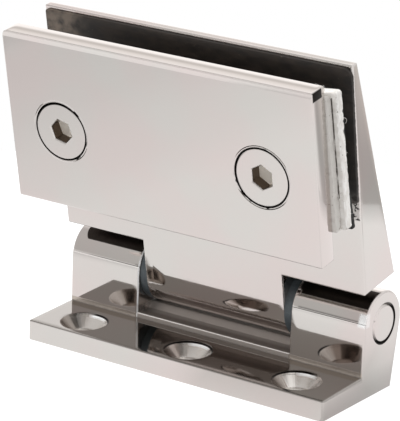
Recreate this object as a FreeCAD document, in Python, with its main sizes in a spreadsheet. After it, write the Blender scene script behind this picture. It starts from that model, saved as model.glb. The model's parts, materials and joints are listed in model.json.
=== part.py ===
# Glass door hinge: a base bracket with two knuckles, and a leaf that clamps the edge of a glass pane.
# X runs along the hinge, Y from the front edge of the flange to the back, Z up from the fixing face.
# The origin lies on the axis of the middle fixing hole, in the plane of the fixing face.
import FreeCAD, Part
import math
import os
import Sketcher
from FreeCAD import Vector

doc = FreeCAD.newDocument("GlassDoorHinge")

# Driving dimensions, in millimetres and degrees: alias, value, meaning.
SIZES = [
    ("base_length", 90.8, "length of the bracket along the hinge axis"),
    ("base_depth", 32.2, "fixing face, from front edge to back edge"),
    ("base_thickness", 5.3, "thickness of the flange at its front edge"),
    ("flange_rise", 0.75, "how much thicker the flange is where it meets the knuckles"),
    ("flange_depth", 18, "flange in front of the knuckles"),
    ("knuckle_radius", 8.6, "rounding of the knuckles"),
    ("knuckle_height", 18, "centre of that rounding above the fixing face"),
    ("knuckle_slot", 47.2, "space between the knuckles"),
    ("ledge_height", 7.4, "front of the block left standing between the knuckles"),
    ("ledge_depth", 5, "depth of that level before the block rises towards the back"),
    ("heel_gap", 0.4, "clearance of the tongue above the raised back of the block"),
    ("edge_round", 0.4, "rounding of the long steel edges"),
    ("edge_bevel", 0.35, "bevel of the other outer steel edges"),
    ("hole_inset", 7.4, "fixing holes behind the front edge"),
    ("hole_pitch", 33, "spacing of the fixing holes"),
    ("hole_bore", 6.5, "fixing hole"),
    ("hole_sink", 12.6, "countersink of the fixing hole at the face"),
    ("pin_setback", 0.6, "pin axis behind the centre of the knuckle rounding"),
    ("pin_diameter", 10, "hinge pin"),
    ("pin_fit", 0.01, "radial clearance of the pin in the knuckles"),
    ("pin_chamfer", 0.45, "chamfer of the pin ends and of the bores round them"),
    ("running_gap", 0.05, "radial clearance between pin and bushes"),
    ("side_gap", 0.1, "clearance between each bush flange and its knuckle"),
    ("bush_wall", 1.5, "wall of the bush in the tongue"),
    ("bush_reach", 13, "length of the bush inside the tongue"),
    ("bush_flange", 2.2, "flange of the bush, between the tongue and the knuckle"),
    ("jaw_setoff", 8.6, "clamping face of the jaw in front of the pin axis"),
    ("leaf_tilt", 10.8, "lean of the leaf towards the front"),
    ("leaf_width", 91.6, "width of the leaf and of the front plate"),
    ("leaf_foot", 11.8, "underside of the leaf above the pin axis"),
    ("leaf_height", 61.7, "height of the jaw"),
    ("jaw_top", 2.2, "thickness of the jaw at its top"),
    ("jaw_bottom", 14.2, "thickness of the jaw at its foot"),
    ("clamp_gap", 12.5, "distance from the jaw to the front plate"),
    ("plate_height", 45.7, "height of the front plate"),
    ("plate_thickness", 5.3, "thickness of the front plate"),
    ("screw_inset", 15.8, "clamp screws inside the ends of the leaf"),
    ("screw_rise", 20.9, "clamp screws above the lower edge of the front plate"),
    ("screw_diameter", 8, "thread of the clamp screws"),
    ("screw_length", 23, "clamp screw, with its head"),
    ("head_diameter", 16, "countersunk head"),
    ("head_rim", 0.45, "straight rim of the head, which leaves the ring groove"),
    ("hex_width", 5, "hexagon socket across flats"),
    ("hex_depth", 3.6, "depth of the hexagon socket"),
    ("left_turn", 17, "turn of the left socket as tightened"),
    ("right_turn", 0, "turn of the right socket as tightened"),
    ("tap_depth", 6, "tapped hole in the jaw"),
    ("screw_clearance", 0.2, "radial clearance of the screw in the plate and the sleeve"),
    ("sleeve_wall", 1.8, "plastic sleeve round the clamp screw"),
    ("sleeve_clearance", 0.2, "radial clearance of the sheets round the sleeve"),
    ("liner_thickness", 1, "rubber liner of the jaw"),
    ("liner_inset", 0.8, "liner inside the ends of the leaf"),
    ("liner_height", 35.4, "height of the liner"),
    ("liner_margin", 0.7, "liner below the top of the jaw"),
    ("liner_corner", 2.6, "corner radius of the liner"),
    ("packing_front_thickness", 2.2, "fibre sheet against the front plate"),
    ("packing_back_thickness", 2.6, "fibre sheet behind it"),
    ("facing_thickness", 0.9, "black sheet that meets the glass"),
    ("packing_inset", 2.6, "left edge of the sheets inside the plate"),
    ("packing_rise", 7.4, "foot of the sheets above the lower edge of the plate"),
    ("packing_drop", 3.4, "top of the sheets below the top of the plate"),
    ("front_overhang", 1, "first fibre sheet past the right end of the plate"),
    ("back_overhang", 1.8, "second fibre sheet past the right end of the plate"),
    ("facing_overhang", 1.3, "black sheet past the right end of the plate"),
    ("packing_splay", 0.8, "how much further the cut end reaches at its foot"),
    ("packing_crown", 1.2, "rise of the top edge towards the cut end"),
    ("packing_corner", 1.2, "rounded upper corner of the cut end"),
]

sheet = doc.addObject("Spreadsheet::Sheet", "Sizes")
for row, (alias, value, meaning) in enumerate(SIZES, 1):
    sheet.set(f"A{row}", meaning)
    sheet.set(f"B{row}", str(value))
    sheet.setAlias(f"B{row}", alias)
doc.recompute()


def size(alias):
    """Value of one cell of the sheet."""
    return float(sheet.get(alias))


# Places that several pieces share, as expressions on the sheet.
FLANGE_ROOT = "(Sizes.base_thickness + Sizes.flange_rise)"
HEEL_TOP = "(Sizes.knuckle_height - Sizes.jaw_setoff - Sizes.heel_gap)"
KNUCKLE_Y = "(Sizes.flange_depth + Sizes.knuckle_radius - Sizes.hole_inset)"
PIN_Y = f"({KNUCKLE_Y} + Sizes.pin_setback)"
PLATE_BACK = "(Sizes.jaw_setoff + Sizes.clamp_gap)"
PLATE_FRONT = f"({PLATE_BACK} + Sizes.plate_thickness)"
LEAF_TOP = "(Sizes.leaf_foot + Sizes.leaf_height)"
PLATE_FOOT = f"({LEAF_TOP} - Sizes.plate_height)"
SCREW_Z = f"({PLATE_FOOT} + Sizes.screw_rise)"
SCREW_X = "(Sizes.leaf_width / 2 - Sizes.screw_inset)"
TONGUE_X = "(Sizes.knuckle_slot / 2 - Sizes.side_gap - Sizes.bush_flange)"
SLEEVE_RADIUS = "(Sizes.screw_diameter / 2 + Sizes.screw_clearance + Sizes.sleeve_wall)"

# The leaf and all that it carries are drawn upright about the pin axis and then leaned forward.
LEAF_PLACE = (f"placement(vector(0; {PIN_Y}; Sizes.knuckle_height);"
              " rotation(vector(1; 0; 0); Sizes.leaf_tilt))")


def bind(obj, **expressions):
    """Tie properties of an object to the sheet."""
    for name, expression in expressions.items():
        obj.setExpression(name, str(expression))


def body(label, place=None):
    """New body, placed by an expression."""
    new = doc.addObject("PartDesign::Body", label)
    new.Label = label
    if place:
        new.setExpression("Placement", place)
    return new


def plane(owner, role):
    """Origin plane of a body."""
    return [f for f in owner.Origin.OriginFeatures if f.Role == role][0]


def sketch(owner, name, role, offset=None):
    """Empty sketch on an origin plane, moved along the plane's normal by an expression."""
    new = owner.newObject("Sketcher::SketchObject", name)
    new.AttachmentSupport = [(plane(owner, role), "")]
    new.MapMode = "FlatFace"
    if offset:
        new.setExpression("AttachmentOffset.Base.z", offset)
    return new


def polygon(sk, points):
    """Closed outline from (x expression, y expression) pairs, each corner dimensioned."""
    values = [(sk.evalExpression(x), sk.evalExpression(y)) for x, y in points]
    corners = [Vector(float(x), float(y), 0) for x, y in values]
    count = len(corners)
    for i in range(count):
        sk.addGeometry(Part.LineSegment(corners[i], corners[(i + 1) % count]), False)
    for i in range(count):
        sk.addConstraint(Sketcher.Constraint("Coincident", i, 2, (i + 1) % count, 1))
    for i, (x, y) in enumerate(points):
        place_point(sk, i, 1, x, y, corners[i])


def place_point(sk, edge, end, x, y, at):
    """Fix a sketch point by its two distances from the sketch origin."""
    for kind, expression, value in (("DistanceX", x, at.x), ("DistanceY", y, at.y)):
        index = sk.addConstraint(Sketcher.Constraint(kind, -1, 1, edge, end, value))
        sk.setExpression(f"Constraints[{index}]", expression)


def circle(sk, x, y, radius):
    """Circle with its centre and radius bound to the sheet."""
    at = Vector(float(sk.evalExpression(x)), float(sk.evalExpression(y)), 0)
    value = float(sk.evalExpression(radius))
    edge = sk.addGeometry(Part.Circle(at, Vector(0, 0, 1), value), False)
    place_point(sk, edge, 3, x, y, at)
    index = sk.addConstraint(Sketcher.Constraint("Radius", edge, value))
    sk.setExpression(f"Constraints[{index}]", radius)


def pad(owner, name, profile, length, symmetric=False):
    """Pad a sketch, along its normal or to both sides."""
    new = owner.newObject("PartDesign::Pad", name)
    new.Profile = profile
    new.SideType = "Symmetric" if symmetric else "One side"
    bind(new, Length=length)
    doc.recompute()
    return new


def cut(owner, name, profile, depth=None, symmetric=True):
    """Pocket a sketch to a depth, on one side or shared by both, or right through to both sides."""
    new = owner.newObject("PartDesign::Pocket", name)
    new.Profile = profile
    new.SideType = "Symmetric" if symmetric else "One side"
    if depth:
        new.Type = "Length"
        bind(new, Length=depth)
    else:
        new.Type = "ThroughAll"
    doc.recompute()
    return new


def revolve(owner, name, profile, axis):
    """Turn a half section about an axis of its sketch."""
    new = owner.newObject("PartDesign::Revolution", name)
    new.Profile = profile
    new.ReferenceAxis = (profile, [axis])
    new.Angle = 360
    doc.recompute()
    return new


def dress(owner, name, kind, value, wanted):
    """Round or bevel the edges of the body's last feature that pass a test."""
    base = owner.Tip
    names = [f"Edge{i}" for i, edge in enumerate(base.Shape.Edges, 1) if wanted(edge)]
    new = owner.newObject(f"PartDesign::{kind}", name)
    new.Base = (base, names)
    bind(new, **{"Radius" if kind == "Fillet" else "Size": value})
    doc.recompute()
    return new


def drilled(owner, name, profile, bore, sink):
    """Countersunk holes right through, at the circles of a sketch."""
    doc.recompute()
    new = owner.newObject("PartDesign::Hole", name)
    new.Profile = profile
    new.DepthType = "ThroughAll"
    new.HoleCutType = "Countersink"
    new.HoleCutCountersinkAngle = 90
    bind(new, Diameter=bore, HoleCutDiameter=sink)
    doc.recompute()
    return new


def at_plane(edge, axis, *places):
    """Whether an edge lies wholly in one of some planes across X, Y or Z."""
    box = edge.BoundBox
    low = (box.XMin, box.YMin, box.ZMin)[axis]
    high = (box.XMax, box.YMax, box.ZMax)[axis]
    return any(abs(low - p) < 1e-4 and abs(high - p) < 1e-4 for p in places)


def along(edge, direction):
    """Whether an edge is straight and runs in a direction."""
    span = edge.Vertexes[-1].Point - edge.Vertexes[0].Point
    return span.Length > 0 and abs(abs(span.dot(direction)) - edge.Length) < 1e-4


def barrel_outline(sk, corners, start, centre, turn):
    """Closed outline of straight corners and an arc whose far end runs tangent into a straight side.

    The last corner joins the arc at its start, level with the centre. The arc turns about the
    centre, 1 for counter-clockwise and -1 for clockwise, and the tangent side ends at the first
    corner. All places are pairs of expressions.
    """
    def value(pair):
        return Vector(float(sk.evalExpression(pair[0])), float(sk.evalExpression(pair[1])), 0)

    path = corners + [start]
    points = [value(pair) for pair in path]
    middle = value(centre)
    radius = (points[-1] - middle).Length
    reach = points[0] - middle
    touch = math.atan2(reach.y, reach.x) - turn * math.acos(radius / reach.Length)
    touch_point = middle + Vector(math.cos(touch), math.sin(touch), 0) * radius
    ring = Part.Circle(middle, Vector(0, 0, 1), radius)
    if turn > 0:
        arc_geometry = Part.ArcOfCircle(ring, math.pi, touch + 2 * math.pi)
    else:
        arc_geometry = Part.ArcOfCircle(ring, touch, math.pi)
    arc_start, arc_end = (1, 2) if turn > 0 else (2, 1)

    sides = [sk.addGeometry(Part.LineSegment(a, b), False) for a, b in zip(points, points[1:])]
    arc = sk.addGeometry(arc_geometry, False)
    back = sk.addGeometry(Part.LineSegment(touch_point, points[0]), False)
    for side, following in zip(sides, sides[1:]):
        sk.addConstraint(Sketcher.Constraint("Coincident", side, 2, following, 1))
    sk.addConstraint(Sketcher.Constraint("Coincident", sides[-1], 2, arc, arc_start))
    sk.addConstraint(Sketcher.Constraint("Tangent", arc, arc_end, back, 1))
    sk.addConstraint(Sketcher.Constraint("Coincident", back, 2, sides[0], 1))
    for side, (x, y), at in zip(sides, path, points):
        place_point(sk, side, 1, x, y, at)
    place_point(sk, sides[-1], 2, *start, points[-1])
    place_point(sk, arc, 3, *centre, middle)


def round_slab(owner, end):
    """Bevel the outline of both ends of a slab that lies along X, and round its long edges."""
    dress(owner, "BevelledEnds", "Chamfer", "Sizes.edge_bevel", lambda edge: at_plane(edge, 0, end, -end))
    dress(owner, "RoundedEdges", "Fillet", "Sizes.edge_round", lambda edge: along(edge, Vector(1, 0, 0)))


def base_bracket():
    """Flange and knuckles, machined from one block."""
    new = body("base_bracket")
    front = "-Sizes.hole_inset"
    knuckle_front = "Sizes.flange_depth - Sizes.hole_inset"
    section = sketch(new, "BracketSection", "YZ_Plane")
    barrel_outline(
        section,
        [("Sizes.base_depth - Sizes.hole_inset", "0"), (front, "0"), (front, "Sizes.base_thickness"),
         (knuckle_front, FLANGE_ROOT)],
        (knuckle_front, "Sizes.knuckle_height"), (KNUCKLE_Y, "Sizes.knuckle_height"), -1)
    pad(new, "Block", section, "Sizes.base_length", True)

    # The slot's floor is level behind its front edge and then rises to just below the tongue.
    opening = sketch(new, "SlotSection", "YZ_Plane")
    top = "Sizes.knuckle_height + 2 * Sizes.knuckle_radius"
    back = "Sizes.base_depth"
    ramp_foot = f"({knuckle_front} + Sizes.ledge_depth)"
    ramp_head = f"({ramp_foot} + {HEEL_TOP} - Sizes.ledge_height)"
    polygon(opening, [("0", "Sizes.ledge_height"), (ramp_foot, "Sizes.ledge_height"), (ramp_head, HEEL_TOP),
                      (back, HEEL_TOP), (back, top), ("0", top)])
    cut(new, "Slot", opening, "Sizes.knuckle_slot")

    end = size("base_length") / 2
    cheek = size("knuckle_slot") / 2
    front_top = size("base_thickness")
    root = front_top + size("flange_rise")
    flange_front = -size("hole_inset")
    knuckle_face = size("flange_depth") - size("hole_inset")
    ramp = [float(new.evalExpression(place)) for place in (ramp_foot, ramp_head)]
    heel_top = float(new.evalExpression(HEEL_TOP))

    def nose(edge):
        return at_plane(edge, 1, flange_front) and at_plane(edge, 2, front_top)

    def outer(edge):
        foot = at_plane(edge, 2, 0) or (at_plane(edge, 1, knuckle_face) and at_plane(edge, 2, root))
        in_slot = at_plane(edge, 1, *ramp) or (at_plane(edge, 0, cheek, -cheek)
                                               and edge.BoundBox.ZMin > root + 1e-3
                                               and edge.BoundBox.ZMax < heel_top + 1e-3)
        seam = abs(edge.BoundBox.XLength - 2 * end) < 1e-4 and edge.BoundBox.ZMin > root + 1e-3
        return not foot and not in_slot and not seam and not nose(edge)

    dress(new, "BevelledEdges", "Chamfer", "Sizes.edge_bevel", outer)
    dress(new, "RoundedNose", "Fillet", "Sizes.edge_round", nose)

    # The flange slopes, so the holes are drilled from the height of its root, where the sinks are wider.
    rows = sketch(new, "FixingHoleCentres", "XY_Plane", FLANGE_ROOT)
    for step in (-1, 0, 1):
        circle(rows, f"{step} * Sizes.hole_pitch", "0", "Sizes.hole_bore / 2")
    drilled(new, "FixingHoles", rows, "Sizes.hole_bore",
            "Sizes.hole_sink + 2 * Sizes.flange_rise * (1 - Sizes.hole_inset / Sizes.flange_depth)")

    bore = sketch(new, "PinBoreOutline", "YZ_Plane")
    circle(bore, PIN_Y, "Sizes.knuckle_height", "Sizes.pin_diameter / 2 + Sizes.pin_fit")
    cut(new, "PinBore", bore)
    dress(new, "BoreChamfers", "Chamfer", "Sizes.pin_chamfer",
          lambda edge: edge.isClosed() and at_plane(edge, 0, end, -end))
    return new


def hinge_pin():
    """Pin pressed into both knuckles, flush with their ends."""
    new = body("hinge_pin", f"placement(vector(0; {PIN_Y}; Sizes.knuckle_height);"
                            " rotation(vector(1; 0; 0); 0))")
    half_section = sketch(new, "PinSection", "XY_Plane")
    end = "Sizes.base_length / 2"
    radius = "Sizes.pin_diameter / 2"
    nose = f"{radius} - Sizes.pin_chamfer"
    shoulder = f"{end} - Sizes.pin_chamfer"
    polygon(half_section, [(f"-{end}", "0"), (end, "0"), (end, nose), (shoulder, radius),
                           (f"-({shoulder})", radius), (f"-{end}", nose)])
    revolve(new, "Pin", half_section, "H_Axis")
    return new


def leaf_body():
    """Wedge-shaped jaw with the tongue that turns on the pin, machined from one block."""
    new = body("leaf_body", LEAF_PLACE)
    face = "-Sizes.jaw_setoff"
    heel = "Sizes.jaw_bottom - Sizes.jaw_setoff"
    wedge = sketch(new, "JawSection", "YZ_Plane")
    polygon(wedge, [(face, "Sizes.leaf_foot"), (heel, "Sizes.leaf_foot"),
                    ("Sizes.jaw_top - Sizes.jaw_setoff", LEAF_TOP), (face, LEAF_TOP)])
    pad(new, "Jaw", wedge, "Sizes.leaf_width", True)
    round_slab(new, size("leaf_width") / 2)

    # The tongue reaches up into the jaw, past the rounding of the jaw's lower edges.
    root = "Sizes.leaf_foot + 2 * Sizes.edge_round"
    root_back = f"{heel} - 2 * Sizes.edge_round * (Sizes.jaw_bottom - Sizes.jaw_top) / Sizes.leaf_height"
    neck = sketch(new, "TongueSection", "YZ_Plane")
    barrel_outline(neck, [(heel, "Sizes.leaf_foot"), (root_back, root), (face, root)],
                   (face, "0"), ("0", "0"), 1)
    pad(new, "Tongue", neck, f"2 * {TONGUE_X}", True)

    bore = sketch(new, "BushBoreOutline", "YZ_Plane")
    circle(bore, "0", "0", "Sizes.pin_diameter / 2 + Sizes.running_gap + Sizes.bush_wall")
    cut(new, "BushBore", bore)
    taps = sketch(new, "TappedHoleCentres", "XZ_Plane", "Sizes.jaw_setoff")
    for side in (-1, 1):
        circle(taps, f"{side} * {SCREW_X}", SCREW_Z, "Sizes.screw_diameter / 2")
    cut(new, "TappedHoles", taps, "Sizes.tap_depth", False)
    return new


def bush(label, side):
    """Flanged plastic bush, pressed into one end of the tongue; side is -1 for left, 1 for right."""
    new = body(label, LEAF_PLACE)
    half_section = sketch(new, "BushSection", "XY_Plane")
    cheek = f"{side} * {TONGUE_X}"
    inner_end = f"{cheek} - {side} * Sizes.bush_reach"
    flange_end = f"{side} * (Sizes.knuckle_slot / 2 - Sizes.side_gap)"
    bore = "Sizes.pin_diameter / 2 + Sizes.running_gap"
    wall = f"{bore} + Sizes.bush_wall"
    polygon(half_section, [(inner_end, bore), (flange_end, bore), (flange_end, "Sizes.jaw_setoff"),
                           (cheek, "Sizes.jaw_setoff"), (cheek, wall), (inner_end, wall)])
    revolve(new, "Bush", half_section, "H_Axis")
    return new


def front_plate():
    """Flat clamp plate with two countersunk holes."""
    new = body("front_plate", LEAF_PLACE)
    outline = sketch(new, "PlateOutline", "XZ_Plane", PLATE_BACK)
    half = "Sizes.leaf_width / 2"
    polygon(outline, [(f"-{half}", PLATE_FOOT), (half, PLATE_FOOT), (half, LEAF_TOP),
                      (f"-{half}", LEAF_TOP)])
    pad(new, "Plate", outline, "Sizes.plate_thickness")
    round_slab(new, size("leaf_width") / 2)
    centres = sketch(new, "ScrewHoleCentres", "XZ_Plane", PLATE_FRONT)
    for side in (-1, 1):
        circle(centres, f"{side} * {SCREW_X}", SCREW_Z, "Sizes.screw_diameter / 2")
    drilled(new, "ScrewHoles", centres, "Sizes.screw_diameter + 2 * Sizes.screw_clearance",
            "Sizes.head_diameter + 2 * Sizes.head_rim")
    return new


def clamp_screw(label, side, turn):
    """Countersunk screw with a hexagon socket, turned as it was left."""
    place = (f"{LEAF_PLACE} * placement(vector({side} * {SCREW_X}; -{PLATE_FRONT}; {SCREW_Z});"
             " rotation(vector(1; 0; 0); 90)) * placement(vector(0; 0; 0);"
             f" rotation(vector(0; 0; 1); {turn}))")
    new = body(label, place)
    half_section = sketch(new, "ScrewSection", "XZ_Plane")
    head = "Sizes.head_diameter / 2"
    shank = "Sizes.screw_diameter / 2"
    polygon(half_section, [
        ("0", "0"), (head, "0"), (head, "-Sizes.head_rim"),
        (shank, f"-(Sizes.head_rim + {head} - {shank})"), (shank, "-Sizes.screw_length"),
        ("0", "-Sizes.screw_length")])
    revolve(new, "Screw", half_section, "V_Axis")
    socket = sketch(new, "SocketOutline", "XY_Plane")
    corner = "(Sizes.hex_width / sqrt(3))"
    polygon(socket, [(f"{corner} * cos({angle})", f"{corner} * sin({angle})")
                     for angle in range(30, 390, 60)])
    cut(new, "Socket", socket, "Sizes.hex_depth", False)
    return new


def screw_sleeve(label, side):
    """Plastic sleeve round a clamp screw, from the jaw to the front plate."""
    outer = doc.addObject("Part::Cylinder", f"{label}_outside")
    inner = doc.addObject("Part::Cylinder", f"{label}_bore")
    bind(outer, Radius=SLEEVE_RADIUS, Height="Sizes.clamp_gap")
    bind(inner, Radius=f"{SLEEVE_RADIUS} - Sizes.sleeve_wall", Height="Sizes.clamp_gap")
    new = doc.addObject("Part::Cut", label)
    new.Base = outer
    new.Tool = inner
    new.Label = label
    new.setExpression("Placement", f"{LEAF_PLACE} * placement(vector({side} * {SCREW_X};"
                                   f" -{PLATE_BACK}; {SCREW_Z}); rotation(vector(1; 0; 0); -90))")
    return new


def clamped_sheet(label, points, back, thickness, corners, radius):
    """Sheet between jaw and plate, with a hole for each sleeve and some corners rounded."""
    new = body(label, LEAF_PLACE)
    outline = sketch(new, "SheetOutline", "XZ_Plane", back)
    polygon(outline, points)
    for side in (-1, 1):
        circle(outline, f"{side} * {SCREW_X}", SCREW_Z,
               f"{SLEEVE_RADIUS} + Sizes.sleeve_clearance")
    pad(new, "Sheet", outline, thickness)
    spots = [Vector(float(new.evalExpression(points[i][0])), 0, float(new.evalExpression(points[i][1])))
             for i in corners]

    def at_corner(edge):
        middle = edge.CenterOfMass
        return along(edge, Vector(0, 1, 0)) and any(
            abs(middle.x - spot.x) + abs(middle.z - spot.z) < 1e-4 for spot in spots)

    dress(new, "RoundedCorners", "Fillet", radius, at_corner)
    return new


def jaw_liner():
    """Black rubber liner on the clamping face of the jaw."""
    half = "(Sizes.leaf_width / 2 - Sizes.liner_inset)"
    top = f"{LEAF_TOP} - Sizes.liner_margin"
    foot = f"{top} - Sizes.liner_height"
    points = [(f"-{half}", foot), (half, foot), (half, top), (f"-{half}", top)]
    return clamped_sheet("jaw_liner", points, "Sizes.jaw_setoff", "Sizes.liner_thickness",
                         range(4), "Sizes.liner_corner")


def packing_sheet(label, before, thickness, overhang):
    """Sheet behind the front plate; before is what lies between the plate and this sheet."""
    edge = "Sizes.leaf_width / 2"
    left = f"Sizes.packing_inset - {edge}"
    foot = f"{PLATE_FOOT} + Sizes.packing_rise"
    top = f"{LEAF_TOP} - Sizes.packing_drop"
    points = [(left, foot), (f"{edge} + {overhang} + Sizes.packing_splay", foot),
              (f"{edge} + {overhang}", f"{top} + Sizes.packing_crown"),
              (f"{edge} - Sizes.packing_inset", f"{top} + Sizes.packing_crown / 2"), (left, top)]
    return clamped_sheet(label, points, f"{PLATE_BACK} - {before} - {thickness}", thickness,
                         [2], "Sizes.packing_corner")


PACKING_FRONT = "Sizes.packing_front_thickness"
PACKING_BACK = "Sizes.packing_back_thickness"
pieces = [
    base_bracket(),
    hinge_pin(),
    leaf_body(),
    bush("left_bush", -1),
    bush("right_bush", 1),
    jaw_liner(),
    packing_sheet("packing_front", "0", PACKING_FRONT, "Sizes.front_overhang"),
    packing_sheet("packing_back", PACKING_FRONT, PACKING_BACK, "Sizes.back_overhang"),
    packing_sheet("packing_facing", f"({PACKING_FRONT} + {PACKING_BACK})", "Sizes.facing_thickness",
                  "Sizes.facing_overhang"),
    front_plate(),
    clamp_screw("left_clamp_screw", -1, "Sizes.left_turn"),
    clamp_screw("right_clamp_screw", 1, "Sizes.right_turn"),
    screw_sleeve("left_screw_sleeve", -1),
    screw_sleeve("right_screw_sleeve", 1),
]
doc.recompute()

for obj in doc.Objects:
    if "Invalid" in obj.State or "Error" in obj.State:
        raise RuntimeError(f"{obj.Label} did not compute: {obj.State}")
for piece in pieces:
    if piece.Shape.isNull() or not piece.Shape.isValid() or not piece.Shape.Solids:
        raise RuntimeError(f"{piece.Label} has no sound solid")

os.makedirs("parts", exist_ok=True)
for piece in pieces:
    piece.Shape.exportStep(f"parts/{piece.Label}.step")
    print(f"{piece.Label}: {piece.Shape.Volume:.1f} mm3, {len(piece.Shape.Solids)} solid")
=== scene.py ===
import json
import math
import random
import bmesh
import bpy
from mathutils import Matrix, Vector, noise
from mathutils.geometry import tessellate_polygon


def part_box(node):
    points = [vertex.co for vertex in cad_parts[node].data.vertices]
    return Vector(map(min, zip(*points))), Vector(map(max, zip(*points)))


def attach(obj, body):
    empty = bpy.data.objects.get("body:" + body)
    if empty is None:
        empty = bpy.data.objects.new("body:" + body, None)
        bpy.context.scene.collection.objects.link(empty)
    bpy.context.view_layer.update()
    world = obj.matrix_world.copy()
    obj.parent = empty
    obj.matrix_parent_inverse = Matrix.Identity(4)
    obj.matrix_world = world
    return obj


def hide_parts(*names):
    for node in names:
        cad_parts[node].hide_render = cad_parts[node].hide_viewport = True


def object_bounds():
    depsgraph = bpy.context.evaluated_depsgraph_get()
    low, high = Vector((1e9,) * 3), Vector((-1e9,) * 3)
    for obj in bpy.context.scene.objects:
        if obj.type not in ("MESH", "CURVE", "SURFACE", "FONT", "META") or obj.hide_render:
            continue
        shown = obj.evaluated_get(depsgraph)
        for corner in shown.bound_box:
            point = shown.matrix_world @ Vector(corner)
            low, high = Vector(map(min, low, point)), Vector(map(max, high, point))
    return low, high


# Glass door hinge: mirror polished stainless steel with fibre and rubber packing.
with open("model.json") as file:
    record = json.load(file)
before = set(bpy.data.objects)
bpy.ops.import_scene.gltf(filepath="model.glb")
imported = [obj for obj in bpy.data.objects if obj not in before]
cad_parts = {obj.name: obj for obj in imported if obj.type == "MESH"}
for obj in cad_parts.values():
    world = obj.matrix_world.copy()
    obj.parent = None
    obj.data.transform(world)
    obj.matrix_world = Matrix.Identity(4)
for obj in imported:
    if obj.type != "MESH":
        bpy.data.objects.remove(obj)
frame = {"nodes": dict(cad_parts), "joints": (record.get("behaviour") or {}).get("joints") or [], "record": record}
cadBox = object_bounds()
nodes = frame["nodes"]
joint = frame["joints"][0]
mounts = {mount["name"]: mount for mount in frame["record"]["mounts"]}
mm = 0.001
beyond = 1.0       # metres, past every face of the hinge
roundCount = 96    # points round a circle
print("frame loaded,", len(nodes), "CAD nodes")

# The leaf leans about the pin: leafPlace takes a point of the upright leaf to its place in the frame.
lean = math.atan2(-mounts["glass_face"]["axis"][2], -mounts["glass_face"]["axis"][1])
leafPlace = Matrix.Translation(Vector(joint["pos_m"])) @ Matrix.Rotation(lean, 4, "X")


def leafBox(node):
    # lowest and highest corner of a CAD node, in the upright leaf's own directions
    back = leafPlace.inverted()
    points = [back @ vertex.co for vertex in nodes[node].data.vertices]
    low = Vector(min(point[i] for point in points) for i in range(3))
    high = Vector(max(point[i] for point in points) for i in range(3))
    return low, high


def hexColor(text):
    # an sRGB hex colour as linear red, green, blue, alpha
    values = [int(text[i:i + 2], 16) / 255 for i in (0, 2, 4)]
    linear = [v / 12.92 if v <= 0.04045 else ((v + 0.055) / 1.055) ** 2.4 for v in values]
    return (*linear, 1.0)


def addNode(tree, kind, inputs=None, stops=(), **settings):
    # One node with its settings. An input is a plain value or the socket that feeds it, and stops are
    # the (position, colour) pairs of a colour ramp, in rising order.
    node = tree.nodes.new(kind)
    for name, value in settings.items():
        setattr(node, name, value)
    for name, value in (inputs or {}).items():
        if isinstance(value, bpy.types.NodeSocket):
            tree.links.new(value, node.inputs[name])
        else:
            node.inputs[name].default_value = value
    if stops:
        elements = node.color_ramp.elements
        while len(elements) < len(stops):
            elements.new(1.0)
        for element, (position, color) in zip(elements, stops):
            element.position = position
            element.color = color
    return node


def grey(level, warmth=0.0):
    # a light level as a colour, a little warmer or cooler than neutral
    return (level * (1 + warmth), level, level * (1 - warmth), 1.0)


def newMaterial(name):
    material = bpy.data.materials.new(name)
    material.use_nodes = True
    tree = material.node_tree
    tree.nodes.clear()
    output = addNode(tree, "ShaderNodeOutputMaterial")
    return material, tree, output


# Camera at the photograph's angle.
camera = {
    "place": (0.36640, -0.53502, 0.24810),  # metres, row frame
    "azimuth": 34.24,                       # degrees
    "elevation": 17.56,
    "roll": 2.01,
    "focalPixels": 2724.3,
    "longSide": 421,
    "sensor": 36.0,
    "nearest": 0.01,
}


def makeCamera(values):
    turn, rise, roll = (math.radians(values[key]) for key in ("azimuth", "elevation", "roll"))
    back = Vector((math.sin(turn) * math.cos(rise), -math.cos(turn) * math.cos(rise), math.sin(rise)))
    level = Vector((math.cos(turn), math.sin(turn), 0))
    upright = back.cross(level)
    right = math.cos(roll) * level + math.sin(roll) * upright
    up = math.cos(roll) * upright - math.sin(roll) * level
    data = bpy.data.cameras.new("camera")
    data.sensor_width = values["sensor"]
    data.lens = values["focalPixels"] / values["longSide"] * values["sensor"]
    data.clip_start = values["nearest"]
    made = bpy.data.objects.new("camera", data)
    made.matrix_world = Matrix.Translation(values["place"]) @ Matrix((right, up, back)).transposed().to_4x4()
    bpy.context.scene.collection.objects.link(made)
    bpy.context.scene.camera = made


makeCamera(camera)
bpy.context.scene.view_settings.view_transform = "Standard"

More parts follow.
